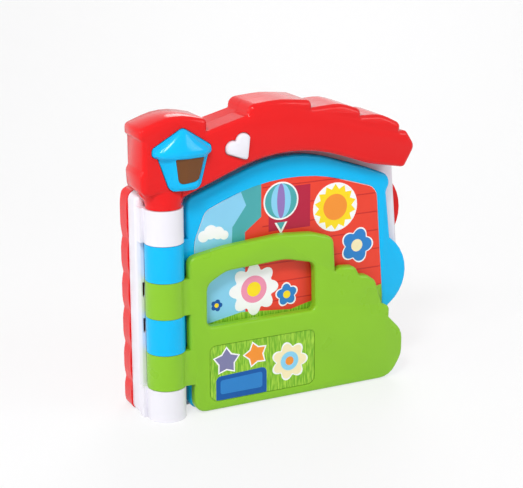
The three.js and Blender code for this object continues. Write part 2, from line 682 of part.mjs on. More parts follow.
// Pages: a front half with the knuckles and a back half, hollow between them
function makePage({ points, bed, backBed, windows, front, knuckles, armEnd }) {
  const middle = front + PAGE_THICKNESS / 2;
  const back = front + PAGE_THICKNESS;
  const frontBack = middle - PAGE_JOINT_GAP / 2;
  const backFront = middle + PAGE_JOINT_GAP / 2;
  const frontHollow = pageHollow(points, front + PAGE_WALL, frontBack + THROUGH, windows);
  const backHollow = pageHollow(points, backFront - THROUGH, back - PAGE_WALL, windows);
  const rings = knuckles.map((index) => {
    const bottom = knuckleBottom(index) + KNUCKLE_GAP / 2;
    const top = knuckleBottom(index + 1) - KNUCKLE_GAP / 2;
    return { bottom, top };
  });
  const barrels = rings.map(({ bottom, top }) => join(
    upright(BARREL_RADIUS, bottom, top),
    block([PIN_RADIUS, armEnd + ARM_OVERLAP], [front, frontBack], [bottom, top]),
  ));
  const backArms = rings.map(({ bottom, top }) => block(
    [BARREL_RADIUS + 0.6, armEnd + ARM_OVERLAP], [backFront, back], [bottom, top],
  ));
  const frontHalf = cut(
    join(cut(plate(points, front, frontBack, { roundFront: PAGE_ROUND, windows }), frontHollow), ...barrels),
    plate(bed, front - THROUGH, front + PRINT_RECESS),
    pinBore,
  );
  const backHalf = cut(
    join(cut(plate(points, backFront, back, { roundBack: PAGE_ROUND, windows }), backHollow), ...backArms),
    plate(backBed, back - PRINT_RECESS, back + THROUGH),
  );
  return { frontHalf, backHalf };
}

function pageHollow(points, front, back, windows) {
  const whole = plate(points, front, back, { grow: -PAGE_WALL });
  const kept = windows.map((hole) => plate(hole, front - THROUGH, back + THROUGH, { grow: PAGE_WALL }));
  return cut(whole, ...kept);
}

function sheet(points, front) {
  return plate(points, front, front + PRINT_THICKNESS, { grow: -PRINT_MARGIN });
}

// The blue page, behind the green one
const blueFront = 0;
const blueOutline = outline([
  [BLUE_LEFT, PAGE_BOTTOM, 8],
  [BLUE_RIGHT, PAGE_BOTTOM, 8],
  [BLUE_RIGHT, 56, 1],
  [221.5, 83, 32],
  [BLUE_RIGHT + 0.3, 110, 1],
  [180.9, 147, 3],
  [186.5, 157.8, 8],
  [ARCH_BEND.x + 4, 167, 30],
  [98.9, 189, 101],
  [BLUE_LEFT, 159.8, 6],
]);
const bluePrintOutline = outline([
  [22.8, 9, 6],
  [179.5, 9, 6],
  [179.5, 66, 20],
  [172.4, 151.6, 11],
  [94.3, 175.8, 148],
  [31.5, 149.6, 10],
  [22.8, 128, 18],
]);

// The green page, in front, with a window and a bush at its right
const greenFront = -PAGE_THICKNESS - PAGE_GAP;
const greenOutline = outline([
  [GREEN_FOOT_LEFT, PAGE_BOTTOM, 9],
  [183, PAGE_BOTTOM, 16],
  [193, 18, 16],
  [193, 37, 14],
  [180.8, 50, 0.6],
  [181, 58.5, 4],
  [174, 62, 0.6],
  [168, 81, 6],
  [161, 86, 3],
  [154.3, 87, 0.6],
  [150, 94.6, 6],
  [138, 95.6, 6],
  [133.2, 92.6, 0.6],
  [131.4, 119.6, 6],
  [114, 125, 12],
  [88, 127, 40],
  [44, 123.6, 30],
  [GREEN_LEFT, 118.8, 7],
  [GREEN_LEFT, 30, 0],
  [GREEN_FOOT_LEFT, 22, 0],
]);
const greenWindow = outline([
  [29, 65.3, 5],
  [117, 65.3, 4],
  [116, 102, 6],
  [92, 108, 25],
  [44, 105.6, 18],
  [29.3, 97.5, 8],
]);
const greenLabelOutline = outline([
  [30, 7.5, 7],
  [116.5, 7.5, 6],
  [116, 51, 5],
  [30.2, 51, 5],
]);

// The lantern button: a faceted lamp under a bulging cap, with a smoked lens
const LAMP_BACK = ROOF_FRONT + 0.4;
const FACETS = [[-1, 0], [-0.43, 0.8], [0.1, 1], [0.8, 0.7], [1, 0]];

function lampSection(z, halfWidth, bulge, inset = 0) {
  const front = FACETS.map(([across, out]) => [
    LANTERN_CENTRE + across * halfWidth,
    ROOF_FRONT - 0.5 - out * bulge + inset,
    z,
  ]);
  return [...front, [LANTERN_CENTRE + halfWidth, LAMP_BACK, z], [LANTERN_CENTRE - halfWidth, LAMP_BACK, z]];
}

function lampBody(inset) {
  return loft([
    lampSection(LANTERN_BOTTOM + 0.5, LANTERN_FOOT_HALF_WIDTH - 3, LANTERN_BULGE - 3, inset),
    lampSection(LANTERN_BOTTOM + 3, LANTERN_FOOT_HALF_WIDTH, LANTERN_BULGE - 1.6, inset),
    lampSection(LANTERN_EAVE + 1, LANTERN_HALF_WIDTH - 0.4, LANTERN_BULGE, inset),
  ]);
}

function capSection(z, halfWidth, bulge) {
  const steps = 8;
  const section = [];
  for (let step = 0; step <= steps; step += 1) {
    const angle = Math.PI * (1 - step / steps);
    section.push([
      LANTERN_CENTRE - 0.4 + halfWidth * Math.cos(angle),
      ROOF_FRONT - 0.5 - bulge * Math.sin(angle),
      z,
    ]);
  }
  section.push([LANTERN_CENTRE - 0.4 + halfWidth, LAMP_BACK, z]);
  section.push([LANTERN_CENTRE - 0.4 - halfWidth, LAMP_BACK, z]);
  return section;
}

const lensOutline = outline([
  [LANTERN_CENTRE - 5, LANTERN_BOTTOM + 5, 4],
  [LANTERN_CENTRE + 10.6, LANTERN_BOTTOM + 6.5, 5],
  [LANTERN_CENTRE + 14.4, LANTERN_EAVE - 0.8, 0.8],
  [LANTERN_CENTRE - 7.6, LANTERN_EAVE - 0.8, 0.8],
]);

function makeLantern() {
  const cap = loft([
    capSection(LANTERN_EAVE + 0.2, LANTERN_ROOF_HALF_WIDTH - 2.6, LANTERN_BULGE + 0.8),
    capSection(LANTERN_EAVE + 2.4, LANTERN_ROOF_HALF_WIDTH - 0.8, LANTERN_BULGE + 1.8),
    capSection(LANTERN_EAVE + 5, LANTERN_ROOF_HALF_WIDTH - 1.8, LANTERN_BULGE + 1.2),
    capSection(LANTERN_APEX - 4.5, 6.5, LANTERN_BULGE - 2),
    capSection(LANTERN_APEX - 1.2, 2.4, LANTERN_BULGE - 4),
  ]);
  const stem = plate(lanternOutline, ROOF_FRONT - 0.6, roofInside - BUTTON_TRAVEL);
  const lensBed = cut(plate(lensOutline, -30, ROOF_FRONT), lampBody(LENS_INSET + LENS_THICKNESS + SEAT_GAP));
  const button = cut(join(lampBody(0), cap, stem, buttonBack(lanternOutline)), lensBed);
  const lens = cut(lampBody(LENS_INSET), lampBody(LENS_INSET + LENS_THICKNESS))
    .intersect(plate(lensOutline, -30, ROOF_FRONT - 1, { grow: -SEAT_GAP }));
  return { button, lens };
}

const flangeFront = roofInside + SEAT_GAP;

// A button's inner part: the stem's end, and the rim that keeps it from falling out. Both are
// trimmed to the room inside the roof, so that the button can move back by its travel.
function buttonBack(shape) {
  const stemFront = roofInside - BUTTON_TRAVEL - FLANGE_BITE;
  const flangeBack = flangeFront + FLANGE_THICKNESS;
  const trim = { grow: -ROOF_WALL - SEAT_GAP };
  const room = join(
    plate(roofOutline, stemFront, flangeBack + 1, trim),
    plate(chimneyOutline, stemFront, flangeBack + 1, trim),
  );
  return join(
    plate(shape, stemFront, flangeFront + FLANGE_BITE),
    plate(shape, flangeFront, flangeBack, { grow: FLANGE_RIM }),
  ).intersect(room);
}

function makeHeart() {
  const face = plate(heartOutline, ROOF_FRONT - HEART_PROUD, roofInside - BUTTON_TRAVEL, { roundFront: HEART_ROUND });
  return join(face, buttonBack(heartOutline));
}

// Batteries lie across the bay, one above the other
function battery(height) {
  const left = bayRib + BAY_WALL + CONTACT_THICKNESS + 2 * SEAT_GAP;
  const centre = BAY_FLOOR + SEAT_GAP + BATTERY_RADIUS;
  const profile = [
    [0, 0], [BATTERY_RADIUS - 0.8, 0], [BATTERY_RADIUS, 0.8], [BATTERY_RADIUS, BATTERY_LENGTH - 0.8],
    [BATTERY_RADIUS - 0.8, BATTERY_LENGTH], [BATTERY_NUB.radius, BATTERY_LENGTH],
    [BATTERY_NUB.radius, BATTERY_LENGTH + BATTERY_NUB.length], [0, BATTERY_LENGTH + BATTERY_NUB.length],
  ];
  const geometry = new THREE.LatheGeometry(profile.map(([r, along]) => new THREE.Vector2(r, along)), 16);
  geometry.rotateZ(-Math.PI / 2);
  geometry.translate(left, centre, height);
  return solid(geometry);
}

function contact(left) {
  return block([left, left + CONTACT_THICKNESS], [BAY_FLOOR + 2, BAY_FLOOR + 11], [bay.bottom + 2, bay.top - 2]);
}

// A screw along Y: the head towards the back, the shank towards the front
function screw(x, z, seat, length) {
  const profile = [
    [0, -length], [SCREW.shank * 0.6, -length], [SCREW.shank, 1.5 - length], [SCREW.shank, 0],
    [SCREW.head, 0], [SCREW.head, SCREW.headHeight * 0.5], [SCREW.head * 0.6, SCREW.headHeight],
    [0, SCREW.headHeight],
  ];
  const geometry = new THREE.LatheGeometry(profile.map(([r, along]) => new THREE.Vector2(r, along)), SMALL_SIDES);
  geometry.translate(x, seat + SCREW.clearance, z);
  return solid(geometry);
}

const group = new THREE.Group();

// Base
group.add(piece('front_shell', makeFrontShell(), WHITE));
group.add(piece('back_shell', makeBackShell(), RED));
group.add(piece('roof_shell', makeRoofShell(), RED));
group.add(piece('base_print', sheet(basePrintOutline, BASE_FRONT + PRINT_RECESS - SEAT_GAP - PRINT_THICKNESS), PRINT));
group.add(piece('hinge_pin', upright(PIN_RADIUS, PIN_BOTTOM, pinTop, SMALL_SIDES), STEEL));

// Battery door and what is behind it
const doorBack = BASE_BACK - 0.2;
const doorHead = bar(SCREW.head + SCREW.clearance, doorBack - 1.2, doorBack + 2, doorScrew.x, doorScrew.z);
const doorPlate = block(
  [bay.left + SEAT_GAP, bay.right - SEAT_GAP],
  [doorBack - DOOR_THICKNESS, doorBack],
  [bay.bottom + SEAT_GAP, bay.top - SEAT_GAP],
);
const doorHole = bar(SCREW.shank + SCREW.clearance, 30, BASE_BACK + 2, doorScrew.x, doorScrew.z);
group.add(piece('battery_door', cut(doorPlate, doorHead, doorHole), RED));
group.add(piece('door_screw', screw(doorScrew.x, doorScrew.z, doorBack - 1.2, 9), STEEL));
[-1, 1].forEach((side, index) => {
  const height = BAY_CENTRE_HEIGHT + (side * BATTERY_PITCH) / 2;
  group.add(piece(`battery_${index + 1}`, battery(height), CELL));
});
group.add(piece('battery_contact_left', contact(bayRib + BAY_WALL + SEAT_GAP), STEEL));
group.add(piece('battery_contact_right', contact(bay.right - SEAT_GAP - CONTACT_THICKNESS), STEEL));

// Speaker, behind the grille in the back
const speakerBack = BASE_BACK - WALL - SEAT_GAP;
const speakerFront = speakerBack - SPEAKER.rim - SPEAKER.basket;
const speakerProfile = [
  [0, SPEAKER.basket + 1.5], [SPEAKER.radius - 3, SPEAKER.basket + SPEAKER.rim],
  [SPEAKER.radius, SPEAKER.basket + SPEAKER.rim], [SPEAKER.radius, SPEAKER.basket],
  [SPEAKER.magnet + 1, 0], [0, 0],
].reverse();
const speakerFrame = new THREE.LatheGeometry(speakerProfile.map(([r, along]) => new THREE.Vector2(r, along)), 24);
speakerFrame.translate(SPEAKER.x, speakerFront, SPEAKER.z);
group.add(piece('speaker_frame', solid(speakerFrame), BLACK));
group.add(piece('speaker_magnet', bar(
  SPEAKER.magnet, speakerFront - SEAT_GAP - SPEAKER.magnetDepth, speakerFront - SEAT_GAP, SPEAKER.x, SPEAKER.z, 20,
), STEEL));

// Boards, switches and the lamp
group.add(piece('circuit_board', block(
  [BOARD.left, BOARD.right], [BOARD.front, BOARD.front + BOARD.thickness], [BOARD.bottom, BOARD.top],
), BOARD_GREEN));
const chipLeft = (BOARD.left + BOARD.right - CHIP_SIZE) / 2;
const chipBottom = (BOARD.bottom + BOARD.top - CHIP_SIZE) / 2;
group.add(piece('sound_chip', block(
  [chipLeft, chipLeft + CHIP_SIZE],
  [BOARD.front - SEAT_GAP - CHIP_HEIGHT, BOARD.front - SEAT_GAP],
  [chipBottom, chipBottom + CHIP_SIZE],
), BLACK));
group.add(piece('roof_board', block(
  [ROOF_BOARD.left, ROOF_BOARD.right],
  [ROOF_BOARD.front, ROOF_BOARD.front + ROOF_BOARD.thickness],
  [ROOF_BOARD.bottom, ROOF_BOARD.top],
), BOARD_GREEN));
const switchPlaces = { lantern_switch: 0, heart_switch: HEART_CENTRE.x };
Object.entries(switchPlaces).forEach(([name, x]) => {
  group.add(piece(name, block(
    [x - SWITCH_SIZE / 2, x + SWITCH_SIZE / 2],
    [ROOF_BOARD.front - SEAT_GAP - SWITCH_HEIGHT, ROOF_BOARD.front - SEAT_GAP],
    [roofBoardMiddle - SWITCH_SIZE / 2, roofBoardMiddle + SWITCH_SIZE / 2],
  ), BLACK));
});
group.add(piece('lamp_led', bar(
  LED_RADIUS, ROOF_BOARD.front - SEAT_GAP - LED_LENGTH, ROOF_BOARD.front - SEAT_GAP, LANTERN_CENTRE + 5, roofBoardMiddle,
), WHITE));

// Power switch in its slot in the back
const powerFront = BASE_BACK - WALL - SEAT_GAP - 5;
group.add(piece('power_switch_body', block(
  [POWER.x - POWER.width / 2 - 2, POWER.x + POWER.width / 2 + 2],
  [powerFront, powerFront + 4],
  [POWER.z - 4, POWER.z + 4],
), BLACK));
const knobLeft = POWER.x - POWER.width / 2 + SEAT_GAP + 1;
group.add(piece('power_switch_knob', block(
  [knobLeft, knobLeft + POWER.knobWidth],
  [powerFront + 4 + SEAT_GAP, BASE_BACK - 0.3],
  [POWER.z - POWER.height / 2 + SEAT_GAP, POWER.z + POWER.height / 2 - SEAT_GAP],
), BLACK));

CASE_SCREWS.forEach(([x, z], index) => {
  group.add(piece(`case_screw_${index + 1}`, screw(x, z, SCREW_SEAT, SCREW.length), STEEL));
});
ROOF_SCREWS.forEach(([x, z], index) => {
  group.add(piece(`roof_screw_${index + 1}`, screw(x, z, roofScrewSeat, SCREW.length), STEEL));
});

// Pages
const blue = makePage({
  points: blueOutline,
  bed: bluePrintOutline,
  backBed: bluePrintOutline,
  windows: [],
  front: blueFront,
  knuckles: [1, 3],
  armEnd: BLUE_LEFT,
});
group.add(piece('blue_page_front', blue.frontHalf, BLUE));
group.add(piece('blue_page_back', blue.backHalf, BLUE));
const sheetBack = PRINT_RECESS - SEAT_GAP - PRINT_THICKNESS;
group.add(piece('blue_front_print', sheet(bluePrintOutline, blueFront + sheetBack), PRINT));
group.add(piece('blue_back_print', sheet(
  bluePrintOutline, blueFront + PAGE_THICKNESS - sheetBack - PRINT_THICKNESS,
), PRINT));

const green = makePage({
  points: greenOutline,
  bed: greenLabelOutline,
  backBed: greenLabelOutline,
  windows: [greenWindow],
  front: greenFront,
  knuckles: [0, 2],
  armEnd: GREEN_LEFT,
});
group.add(piece('green_page_front', green.frontHalf, GREEN));
group.add(piece('green_page_back', green.backHalf, GREEN));
group.add(piece('green_front_print', sheet(greenLabelOutline, greenFront + sheetBack), PRINT_GREEN));
group.add(piece('green_back_print', sheet(
  greenLabelOutline, greenFront + PAGE_THICKNESS - sheetBack - PRINT_THICKNESS,
), PRINT_GREEN));

// Buttons
const lantern = makeLantern();
group.add(piece('lantern_button', lantern.button, BLUE));
group.add(piece('lantern_lens', lantern.lens, SMOKE));
group.add(piece('heart_button', makeHeart(), WHITE));

// The origin is the middle of the footprint, on the floor
const box = new THREE.Box3().setFromObject(group);
const middle = box.getCenter(new THREE.Vector3());
group.position.set(-middle.x, -middle.y, -box.min.z);

export default group;
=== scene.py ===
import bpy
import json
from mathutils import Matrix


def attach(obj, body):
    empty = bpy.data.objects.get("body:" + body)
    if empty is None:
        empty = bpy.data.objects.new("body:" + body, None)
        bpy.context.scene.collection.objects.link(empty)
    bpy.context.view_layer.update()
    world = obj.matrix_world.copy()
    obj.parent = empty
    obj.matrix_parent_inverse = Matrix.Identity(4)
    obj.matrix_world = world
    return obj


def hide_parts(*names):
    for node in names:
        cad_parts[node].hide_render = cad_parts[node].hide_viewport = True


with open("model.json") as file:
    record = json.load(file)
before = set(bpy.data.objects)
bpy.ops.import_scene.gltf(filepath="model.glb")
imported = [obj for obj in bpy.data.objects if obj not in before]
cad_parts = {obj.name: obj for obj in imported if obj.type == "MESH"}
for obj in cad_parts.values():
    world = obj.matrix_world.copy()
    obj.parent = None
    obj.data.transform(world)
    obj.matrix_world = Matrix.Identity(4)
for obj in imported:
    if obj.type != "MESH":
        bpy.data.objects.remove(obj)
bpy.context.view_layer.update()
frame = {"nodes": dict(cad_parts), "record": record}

import json
import math

import bmesh
import bpy
from mathutils import Vector

# The object is written in millimetres, with the barrel's axis at X = 0, Y = 0.
# The floor, the backdrop and the lamps are written in metres.
MM = 0.001
BARREL = frame["record"]["behaviour"]["joints"][0]["pos_m"]

# Printed sheets: Y of each printed face, and the height of one printed layer over the one below
BASE_SHEET_FRONT = 9.4
BLUE_SHEET_FRONT = 0.1
BLUE_SHEET_BACK = 8.6
GREEN_SHEET_FRONT = -8.9
GREEN_SHEET_BACK = -0.4
PRINT_LAYER = 0.004
TO_FRONT = -1
TO_BACK = 1

# Rounds on the moulded edges: what counts as one point, a flat, a smooth bend and an edge
WELD_DISTANCE = 0.002
FLAT_ANGLE = math.radians(0.4)
SMOOTH_ANGLE = math.radians(40)
EDGE_ANGLE = math.radians(50)
EDGE_STEPS = 2

# Steps in the printed outlines' curves
CORNER_STEPS = 8
DISC_SIDES = 32
FLOWER_SIDES = 72

# Camera, where the photograph was taken from
PHOTO_WIDTH = 523
FOCAL_PIXELS = 1450
SENSOR_WIDTH = 36
CAMERA_PLACE = (-371.95, -900.83, 419.49)
CAMERA_TURN = math.radians(26.45)
CAMERA_DIP = math.radians(16.6)

# Colours, as they look on screen, from 0 to 255
RED = (236, 24, 26)
WHITE = (240, 238, 246)
BLUE = (0, 190, 250)
GREEN = (140, 200, 40)
BLACK = (32, 32, 34)
BOARD_GREEN = (30, 105, 60)
SLEEVE_GREY = (60, 62, 68)
STEEL_GREY = (190, 192, 196)
SMOKE_BROWN = (112, 66, 26)
BARN_RED = (238, 66, 44)
BOARD_LINE = (205, 42, 34)
CRIMSON = (186, 26, 62)
TEAL = (74, 172, 176)
SKY = (140, 212, 245)
PAPER_WHITE = (252, 252, 252)
SUN_YELLOW = (255, 224, 26)
ORANGE = (248, 150, 50)
PINK = (244, 150, 180)
LILAC = (150, 120, 190)
SLATE = (128, 128, 170)
DEEP_BLUE = (0, 88, 168)
MID_BLUE = (40, 130, 205)
CREAM = (250, 236, 190)
GRASS = (150, 205, 50)
DARK_BLADE = (112, 178, 34)
LIGHT_BLADE = (168, 214, 66)

# Moulded surfaces: size of the patches and of the fine skin, and how far they vary the finish
PATCH_SCALE = 35.0
PATCH_DETAIL = 3.0
SMOOTHEST_SHARE = 0.85
ROUGHEST_SHARE = 1.2
DARKEST_SHARE = 0.97
SKIN_SCALE = 900.0
SKIN_DEPTH = 0.0002

# Printed grass: thin upright blades, and where one green gives way to the other
BLADE_SCALE = (900, 100, 110)
BLADE_DETAIL = 2.0
DARK_UP_TO = 0.42
LIGHT_FROM = 0.62


def place(x, y, z):
    return Vector((x * MM + BARREL[0], y * MM + BARREL[1], z * MM))


def light_value(level):
    share = level / 255
    return share / 12.92 if share <= 0.04045 else ((share + 0.055) / 1.055) ** 2.4


def linear(colour):
    return (*[light_value(level) for level in colour], 1)


# Materials
def moulded(name, colour, roughness, grain=0.02, gloss=0.3):
    """Moulded plastic or printed film: an even colour, a roughness that varies a little, a fine skin."""
    material = bpy.data.materials.new(name)
    material.use_nodes = True
    nodes = material.node_tree.nodes
    links = material.node_tree.links
    shader = nodes["Principled BSDF"]
    shader.inputs["Specular IOR Level"].default_value = gloss
    coordinates = nodes.new("ShaderNodeTexCoord")
    patches = nodes.new("ShaderNodeTexNoise")
    patches.inputs["Scale"].default_value = PATCH_SCALE
    patches.inputs["Detail"].default_value = PATCH_DETAIL
    links.new(coordinates.outputs["Object"], patches.inputs["Vector"])
    spread = nodes.new("ShaderNodeMapRange")
    spread.inputs["To Min"].default_value = roughness * SMOOTHEST_SHARE
    spread.inputs["To Max"].default_value = roughness * ROUGHEST_SHARE
    links.new(patches.outputs["Fac"], spread.inputs["Value"])
    links.new(spread.outputs["Result"], shader.inputs["Roughness"])
    tint = nodes.new("ShaderNodeMix")
    tint.data_type = "RGBA"
    tint.inputs["A"].default_value = linear([level * DARKEST_SHARE for level in colour])
    tint.inputs["B"].default_value = linear(colour)
    links.new(patches.outputs["Fac"], tint.inputs["Factor"])
    links.new(tint.outputs["Result"], shader.inputs["Base Color"])
    skin = nodes.new("ShaderNodeTexNoise")
    skin.inputs["Scale"].default_value = SKIN_SCALE
    links.new(coordinates.outputs["Object"], skin.inputs["Vector"])
    bump = nodes.new("ShaderNodeBump")
    bump.inputs["Strength"].default_value = grain
    bump.inputs["Distance"].default_value = SKIN_DEPTH
    links.new(skin.outputs["Fac"], bump.inputs["Height"])
    links.new(bump.outputs["Normal"], shader.inputs["Normal"])
    return material


def grass_film(name):
    """Printed grass: upright blades in two greens."""
    material = moulded(name, GRASS, 0.35)
    nodes = material.node_tree.nodes
    links = material.node_tree.links
    coordinates = nodes.new("ShaderNodeTexCoord")
    stretch = nodes.new("ShaderNodeMapping")
    stretch.inputs["Scale"].default_value = BLADE_SCALE
    links.new(coordinates.outputs["Object"], stretch.inputs["Vector"])
    blades = nodes.new("ShaderNodeTexNoise")
    blades.inputs["Scale"].default_value = 1.0
    blades.inputs["Detail"].default_value = BLADE_DETAIL
    links.new(stretch.outputs["Vector"], blades.inputs["Vector"])
    ramp = nodes.new("ShaderNodeValToRGB")
    dark, light = ramp.color_ramp.elements
    dark.position = DARK_UP_TO
    dark.color = linear(DARK_BLADE)
    light.position = LIGHT_FROM
    light.color = linear(LIGHT_BLADE)
    links.new(blades.outputs["Fac"], ramp.inputs["Fac"])
    links.new(ramp.outputs["Color"], nodes["Principled BSDF"].inputs["Base Color"])
    return material


NODE_MATERIALS = {
    "red": moulded("red_plastic", RED, 0.14, gloss=0.22),
    "white": moulded("white_plastic", WHITE, 0.24),
    "blue": moulded("blue_plastic", BLUE, 0.15, gloss=0.22),
    "green": moulded("green_plastic", GREEN, 0.28),
    "black": moulded("black_plastic", BLACK, 0.5, grain=0.1),
    "board": moulded("board_green", BOARD_GREEN, 0.45),
    "cell": moulded("cell_sleeve", SLEEVE_GREY, 0.35),
    "steel": moulded("steel", STEEL_GREY, 0.3, grain=0.05),
    "smoke": moulded("smoked_lens", SMOKE_BROWN, 0.12),
    "print": moulded("print_film", PAPER_WHITE, 0.35),
}
NODE_MATERIALS["steel"].node_tree.nodes["Principled BSDF"].inputs["Metallic"].default_value = 1.0

# Visible mouldings: the body that carries each, its material, and the round on its edges
ROUNDED = {
    "front_shell": ("base", "white", 0.5),
    "back_shell": ("base", "red", 0.4),
    "roof_shell": ("base", "red", 0.4),
    "battery_door": ("base", "red", 0.3),
    "power_switch_knob": ("power_knob", "black", 0.3),
    "blue_page_front": ("blue_page", "blue", 0.4),
    "blue_page_back": ("blue_page", "blue", 0.3),
    "green_page_front": ("green_page", "green", 0.4),
    "green_page_back": ("green_page", "green", 0.3),
    "lantern_button": ("lantern", "blue", 0.35),
    "heart_button": ("heart", "white", 0.3),
}


def rounded_copy(node, body, slot, width):
    """One moulding again, with shallow rounds on its edges and smooth shading."""
    shape = bmesh.new()
    shape.from_mesh(frame["nodes"][node].data)
    bmesh.ops.remove_doubles(shape, verts=shape.verts, dist=WELD_DISTANCE * MM)
    bmesh.ops.dissolve_limit(shape, angle_limit=FLAT_ANGLE, verts=shape.verts, edges=shape.edges)
    mesh = bpy.data.meshes.new(node + "_moulding")
    shape.to_mesh(mesh)
    shape.free()
    mesh.shade_smooth()
    mesh.set_sharp_from_angle(angle=SMOOTH_ANGLE)
    mesh.materials.append(NODE_MATERIALS[slot])
    piece = bpy.data.objects.new(node + "_moulding", mesh)
    bpy.context.collection.objects.link(piece)
    edge = piece.modifiers.new("edge", "BEVEL")
    edge.width = width * MM
    edge.segments = EDGE_STEPS
    edge.limit_method = "ANGLE"
    edge.angle_limit = EDGE_ANGLE
    edge.harden_normals = True
    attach(piece, body)
    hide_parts(node)


for node, (body, slot, width) in ROUNDED.items():
    rounded_copy(node, body, slot, width)

# All other solids keep their shape and get a material
SHEET_MATERIALS = {
    "green_front_print": grass_film("grass_sheet_front"),
    "green_back_print": grass_film("grass_sheet_back"),
}
for entry in frame["record"]["subparts"]:
    node = entry["node"]
    if node in ROUNDED:
        continue
    material = SHEET_MATERIALS.get(node, NODE_MATERIALS[entry["material_slot"]])
    for material_slot in frame["nodes"][node].material_slots:
        material_slot.material = material


# Shapes to print: each is a list of (x, z) points, anticlockwise
def rounded_outline(corners):
    """An outline of straight edges from (x, z, radius) corners."""
    points = []
    count = len(corners)
    for index, (x, z, radius) in enumerate(corners):
        corner = Vector((x, z))
        back = (Vector(corners[index - 1][:2]) - corner).normalized()
        ahead = (Vector(corners[(index + 1) % count][:2]) - corner).normalized()
        half = back.angle(ahead) / 2
        reach = radius / math.tan(half)
        centre = corner + (back + ahead).normalized() * (radius / math.sin(half))
        start = corner + back * reach - centre
        turn = math.pi - 2 * half
        for step in range(CORNER_STEPS + 1):
            angle = turn * step / CORNER_STEPS
            points.append((
                centre.x + start.x * math.cos(angle) - start.y * math.sin(angle),
                centre.y + start.x * math.sin(angle) + start.y * math.cos(angle),
            ))
    return points


def clipped(points, limit):
    """The part of a shape that lies inside a convex outline."""
    kept = list(points)
    for index, (x0, z0) in enumerate(limit):
        x1, z1 = limit[(index + 1) % len(limit)]
        fresh = []
        for step, (bx, bz) in enumerate(kept):
            ax, az = kept[step - 1]
            before = (x1 - x0) * (az - z0) - (z1 - z0) * (ax - x0)
            now = (x1 - x0) * (bz - z0) - (z1 - z0) * (bx - x0)
            if (before >= 0) != (now >= 0):
                share = before / (before - now)
                fresh.append((ax + (bx - ax) * share, az + (bz - az) * share))
            if now >= 0:
                fresh.append((bx, bz))
        kept = fresh
    return kept


def strip(x0, x1, z0, z1):
    return [(x0, z0), (x1, z0), (x1, z1), (x0, z1)]


def disc(x, z, radius, tall=1.0):
    turns = [2 * math.pi * side / DISC_SIDES for side in range(DISC_SIDES)]
    return [(x + radius * math.cos(turn), z + radius * tall * math.sin(turn)) for turn in turns]


def star(x, z, radius, points=5, depth=0.5, turn=0.0):
    corners = []
    for index in range(2 * points):
        reach = radius if index % 2 == 0 else radius * depth
        angle = math.pi / 2 + turn + math.pi * index / points
        corners.append((x + reach * math.cos(angle), z + reach * math.sin(angle)))
    return corners


def flower(x, z, radius, petals, turn=0.0):
    petal_depth = 0.28
    corners = []
    for side in range(FLOWER_SIDES):
        angle = 2 * math.pi * side / FLOWER_SIDES
        swell = abs(math.cos(petals * (angle - turn) / 2))
        reach = radius * (1 - petal_depth + petal_depth * swell)
        corners.append((x + reach * math.cos(angle), z + reach * math.sin(angle)))
    return corners


def cloud(x, z, size):
    puffs = ((-0.9, 0, 0.5), (-0.25, 0.3, 0.62), (0.45, 0.15, 0.55), (1.0, -0.1, 0.4))
    return [disc(x + size * across, z + size * up, size * part) for across, up, part in puffs]


BLUE_SHEET = rounded_outline([
    (23.3, 9.5, 6), (179, 9.5, 6), (179, 66, 20), (171.9, 151, 11), (94.3, 175.2, 130), (32, 149.2, 10),
    (23.3, 127.8, 18),
])
GREEN_SHEET = rounded_outline([(30.5, 8, 7), (116, 8, 6), (115.5, 50.5, 5), (30.7, 50.5, 5)])


class Print:
    """One sheet's artwork: flat shapes laid over each other in a single mesh."""

    def __init__(self, name, face, facing, limit, body):
        self.name = name
        self.face = face
        self.facing = facing
        self.limit = limit
        self.body = body
        self.layer = 0
        self.shape = bmesh.new()
        self.inks = []

    def add(self, material, *outlines):
        if material not in self.inks:
            self.inks.append(material)
        for outline in outlines:
            points = clipped(outline, self.limit)
            if len(points) < 3:
                continue
            self.layer += 1
            front_y = self.face + self.facing * PRINT_LAYER * self.layer
            self.prism(points, front_y, self.inks.index(material))

    def prism(self, points, front_y, ink_index):
        front = [self.shape.verts.new(place(x, front_y, z)) for x, z in points]
        back = [self.shape.verts.new(place(x, self.face, z)) for x, z in points]
        faces = [self.shape.faces.new(front), self.shape.faces.new(list(reversed(back)))]
        for index, corner in enumerate(front):
            following = (index + 1) % len(front)
            side = (back[index], back[following], front[following], corner)
            faces.append(self.shape.faces.new(side))
        for face in faces:
            face.material_index = ink_index

    def finish(self):
        bmesh.ops.recalc_face_normals(self.shape, faces=self.shape.faces)
        mesh = bpy.data.meshes.new(self.name)
        self.shape.to_mesh(mesh)
        self.shape.free()
        for material in self.inks:
            mesh.materials.append(material)
        artwork = bpy.data.objects.new(self.name, mesh)
        bpy.context.collection.objects.link(artwork)
        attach(artwork, self.body)


inks = {}


def ink(colour):
    if colour not in inks:
        inks[colour] = moulded("ink_{}_{}_{}".format(*colour), colour, 0.3)
    return inks[colour]


grass = grass_film("printed_grass")


def barn_boards(artwork):
    """A red barn wall with the joints between its boards and a dark opening."""
    joint_width = 0.9
    artwork.add(ink(BARN_RED), [(63, 0), (185, 0), (185, 180), (76, 180), (76, 140), (63, 130)])
    for joint in range(9):
        height = 45 + 14.5 * joint
        left = 64 if height < 130 else 77
        artwork.add(ink(BOARD_LINE), strip(left, 185, height, height + joint_width))
    artwork.add(ink(CRIMSON), strip(82, 116, 128, 160))


def sun(artwork, x, z):
    artwork.add(ink(PAPER_WHITE), disc(x, z, 18.6))
    artwork.add(ink(SUN_YELLOW), star(x, z, 17.6, points=14, depth=0.78))
    artwork.add(ink(ORANGE), disc(x, z, 10))


